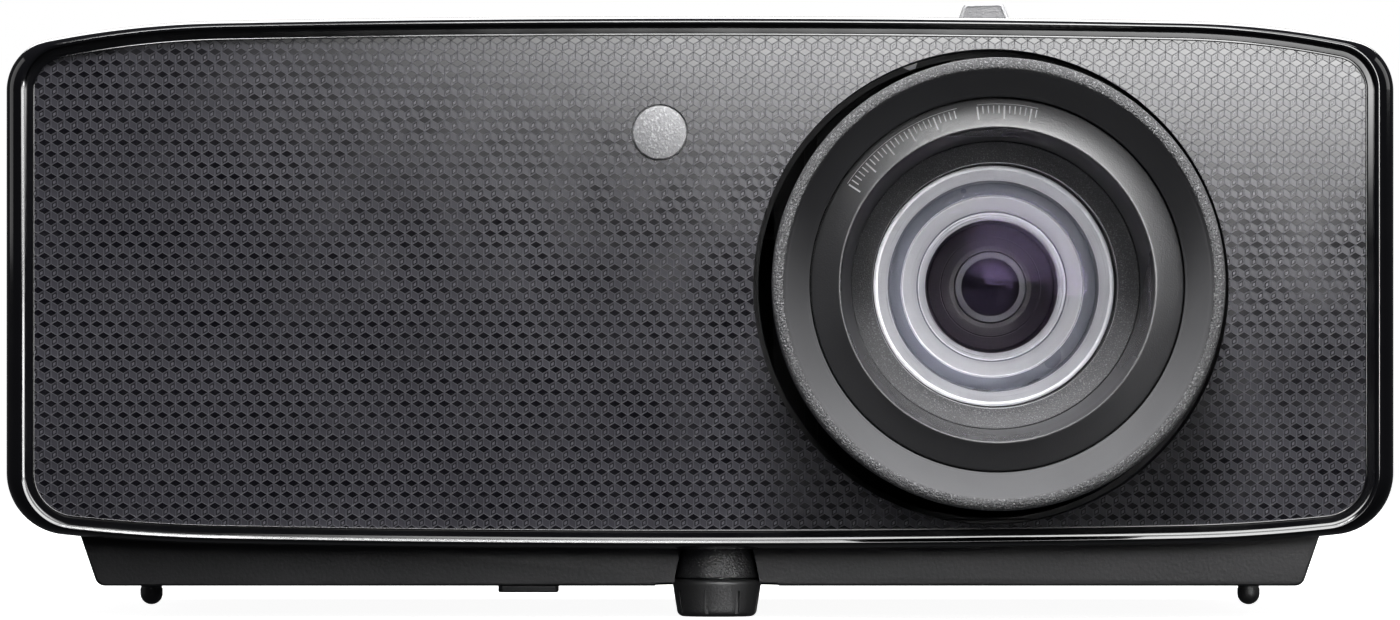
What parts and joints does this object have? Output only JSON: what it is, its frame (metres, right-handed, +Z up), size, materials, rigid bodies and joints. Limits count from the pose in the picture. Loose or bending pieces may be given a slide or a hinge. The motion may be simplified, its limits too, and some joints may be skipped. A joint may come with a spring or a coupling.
{
  "type": "home projector",
  "caption": "Home cinema projector with a shiftable zoom lens, patterned front, screw feet, keypad and a complete light engine inside.",
  "frame": {"origin": "on the surface that the projector stands on, under the middle of its bounding box", "axes": "+Z up, -Y the way the lens looks, +X to the right seen from the front"},
  "size_m": [0.4, 0.34, 0.1785],
  "materials": {
    "case_plastic": "fine spark texture",
    "cover_plastic": "satin",
    "bezel_gloss": "piano gloss",
    "panel_pattern": "moulded relief of small cubes, gloss and satin facets",
    "bay_black": "satin",
    "ir_filter": "fine speckle",
    "back_plastic": "fine spark texture",
    "grille_plastic": "fine spark texture",
    "keypad_gloss": "gloss",
    "key_plastic": "satin",
    "light_pipe": "clear milky",
    "circuit_board": "solder mask",
    "power_circuit": "solder mask",
    "screw_steel": "black zinc",
    "insert_brass": "knurled",
    "foot_steel": "turned",
    "foot_rubber": "moulded",
    "carriage_alloy": "milled",
    "dial_plastic": "satin",
    "barrel_black": "satin",
    "focus_texture": "spark-textured rim, satin funnel",
    "face_satin": "satin",
    "retainer_texture": "textured black",
    "coated_glass": "anti-reflection coated",
    "cell_metal": "turned rings",
    "zoom_plastic": "satin",
    "lever_plastic": "satin",
    "engine_cast": "die cast",
    "sink_alloy": "extruded fins, with copper heat pipes in the laser's",
    "phosphor": "coated",
    "color_glass": "dichroic",
    "motor_metal": "black",
    "laser_metal": "black anodised",
    "fan_plastic": "moulded",
    "port_steel": "tinned",
    "inlet_plastic": "moulded",
    "speaker_black": "moulded"
  },
  "bodies": {
    "chassis": {"bottom_case": "case_plastic", "top_cover": "cover_plastic", "front_bezel": "bezel_gloss", "front_panel": "panel_pattern", "lens_bay_liner": "bay_black", "ir_window": "ir_filter", "rear_panel": "back_plastic", "exhaust_grille": "grille_plastic", "intake_grille": "grille_plastic", "keypad_plate": "keypad_gloss", "keypad_board": "circuit_board", "status_lights": "light_pipe", "case_screws": "screw_steel", "ceiling_inserts": "insert_brass", "standoffs": "foot_steel", "foot_collar": "case_plastic", "lens_mount": "carriage_alloy", "engine_housing": "engine_cast", "dmd_board": "circuit_board", "dmd_heatsink": "sink_alloy", "prism": "coated_glass", "light_tunnel": "engine_cast", "wheel_motors": "motor_metal", "laser_module": "laser_metal", "laser_heatsink": "sink_alloy", "fan_frames": "fan_plastic", "main_board": "circuit_board", "power_board": "power_circuit", "port_sockets": "port_steel", "power_inlet": "inlet_plastic", "speaker": "speaker_black"},
    "side_carriage": {"shift_plate_h": "carriage_alloy"},
    "lens_carriage": {"shift_plate_v": "carriage_alloy", "lens_barrel": "barrel_black", "lens_face_ring": "face_satin", "glass_retainer": "retainer_texture", "front_lens": "coated_glass", "inner_cell": "cell_metal", "inner_lens": "coated_glass"},
    "focus": {"focus_ring": "focus_texture"},
    "zoom": {"zoom_ring": "zoom_plastic", "zoom_lever": "lever_plastic"},
    "side_dial": {"shift_dial_h": "dial_plastic"},
    "height_dial": {"shift_dial_v": "dial_plastic"},
    "front_foot": {"foot_screw": "foot_steel"},
    "front_knob": {"foot_knob": "foot_rubber"},
    "rear_foot_l": {"rear_foot_left": "foot_rubber"},
    "rear_foot_r": {"rear_foot_right": "foot_rubber"},
    "phosphor_rotor": {"phosphor_wheel": "phosphor"},
    "color_rotor": {"color_wheel": "color_glass"},
    "fan_rotor_front": {"front_rotor": "fan_plastic"},
    "fan_rotor_rear": {"rear_rotor": "fan_plastic"},
    "power_key": {"power_button": "key_plastic"},
    "source_key": {"source_button": "key_plastic"},
    "menu_key": {"menu_button": "key_plastic"},
    "enter_key": {"enter_button": "key_plastic"},
    "up_key": {"up_button": "key_plastic"},
    "down_key": {"down_button": "key_plastic"},
    "left_key": {"left_button": "key_plastic"},
    "right_key": {"right_button": "key_plastic"}
  },
  "joints": [
    {"name": "lens_shift_side", "type": "slide", "parent": "chassis", "child": "side_carriage", "axis": [1, 0, 0], "range_m": [-0.003, 0.0006]},
    {"name": "lens_shift_height", "type": "slide", "parent": "side_carriage", "child": "lens_carriage", "axis": [0, 0, 1], "range_m": [-0.0028, 0.002]},
    {"name": "focus_turn", "type": "hinge", "parent": "lens_carriage", "child": "focus", "pos_m": [0.085, -0.155, 0.0958], "axis": [0, 1, 0], "range_deg": [-45, 45]},
    {"name": "zoom_turn", "type": "hinge", "parent": "lens_carriage", "child": "zoom", "pos_m": [0.085, -0.09, 0.0958], "axis": [0, 1, 0], "range_deg": [-11, 11]},
    {"name": "side_dial_turn", "type": "hinge", "parent": "chassis", "child": "side_dial", "pos_m": [0.024, -0.052, 0.17], "axis": [0, 0, 1], "range_deg": [-275, 60]},
    {"name": "height_dial_turn", "type": "hinge", "parent": "chassis", "child": "height_dial", "pos_m": [0.142, -0.052, 0.168], "axis": [0, 0, 1], "range_deg": [-256, 184]},
    {"name": "front_foot_travel", "type": "slide", "parent": "chassis", "child": "front_foot", "axis": [0, 0, -1], "range_m": [0, 0.012]},
    {"name": "front_knob_turn", "type": "hinge", "parent": "front_foot", "child": "front_knob", "pos_m": [0.0049, -0.106, 0.005], "axis": [0, 0, 1], "range_deg": [0, 2170]},
    {"name": "rear_foot_left_travel", "type": "slide", "parent": "chassis", "child": "rear_foot_l", "axis": [0, 0, -1], "range_m": [0, 0.006]},
    {"name": "rear_foot_right_travel", "type": "slide", "parent": "chassis", "child": "rear_foot_r", "axis": [0, 0, -1], "range_m": [0, 0.006]},
    {"name": "power_press", "type": "slide", "parent": "chassis", "child": "power_key", "axis": [0, 0, -1], "range_m": [0, 0.0007], "stiffness_N_per_m": 700, "springref_m": -0.0006},
    {"name": "source_press", "type": "slide", "parent": "chassis", "child": "source_key", "axis": [0, 0, -1], "range_m": [0, 0.0007], "stiffness_N_per_m": 700, "springref_m": -0.0006},
    {"name": "menu_press", "type": "slide", "parent": "chassis", "child": "menu_key", "axis": [0, 0, -1], "range_m": [0, 0.0007], "stiffness_N_per_m": 700, "springref_m": -0.0006},
    {"name": "enter_press", "type": "slide", "parent": "chassis", "child": "enter_key", "axis": [0, 0, -1], "range_m": [0, 0.0007], "stiffness_N_per_m": 700, "springref_m": -0.0006},
    {"name": "up_press", "type": "slide", "parent": "chassis", "child": "up_key", "axis": [0, 0, -1], "range_m": [0, 0.0007], "stiffness_N_per_m": 700, "springref_m": -0.0006},
    {"name": "down_press", "type": "slide", "parent": "chassis", "child": "down_key", "axis": [0, 0, -1], "range_m": [0, 0.0007], "stiffness_N_per_m": 700, "springref_m": -0.0006},
    {"name": "left_press", "type": "slide", "parent": "chassis", "child": "left_key", "axis": [0, 0, -1], "range_m": [0, 0.0007], "stiffness_N_per_m": 700, "springref_m": -0.0006},
    {"name": "right_press", "type": "slide", "parent": "chassis", "child": "right_key", "axis": [0, 0, -1], "range_m": [0, 0.0007], "stiffness_N_per_m": 700, "springref_m": -0.0006},
    {"name": "phosphor_spin", "type": "hinge", "parent": "chassis", "child": "phosphor_rotor", "pos_m": [-0.003, 0.006, 0.072], "axis": [1, 0, 0], "continuous": true},
    {"name": "color_spin", "type": "hinge", "parent": "chassis", "child": "color_rotor", "pos_m": [0.013, 0.006, 0.122], "axis": [1, 0, 0], "continuous": true},
    {"name": "front_fan_spin", "type": "hinge", "parent": "chassis", "child": "fan_rotor_front", "pos_m": [-0.185, -0.026, 0.104], "axis": [1, 0, 0], "continuous": true},
    {"name": "rear_fan_spin", "type": "hinge", "parent": "chassis", "child": "fan_rotor_rear", "pos_m": [-0.185, 0.062, 0.104], "axis": [1, 0, 0], "continuous": true}
  ],
  "couplings": [
    {"joint": "side_dial_turn", "follows": "lens_shift_side", "rad_per_m": 1570.8},
    {"joint": "height_dial_turn", "follows": "lens_shift_height", "rad_per_m": 1570.8},
    {"joint": "front_knob_turn", "follows": "front_foot_travel", "rad_per_m": 3141.6}
  ]
}
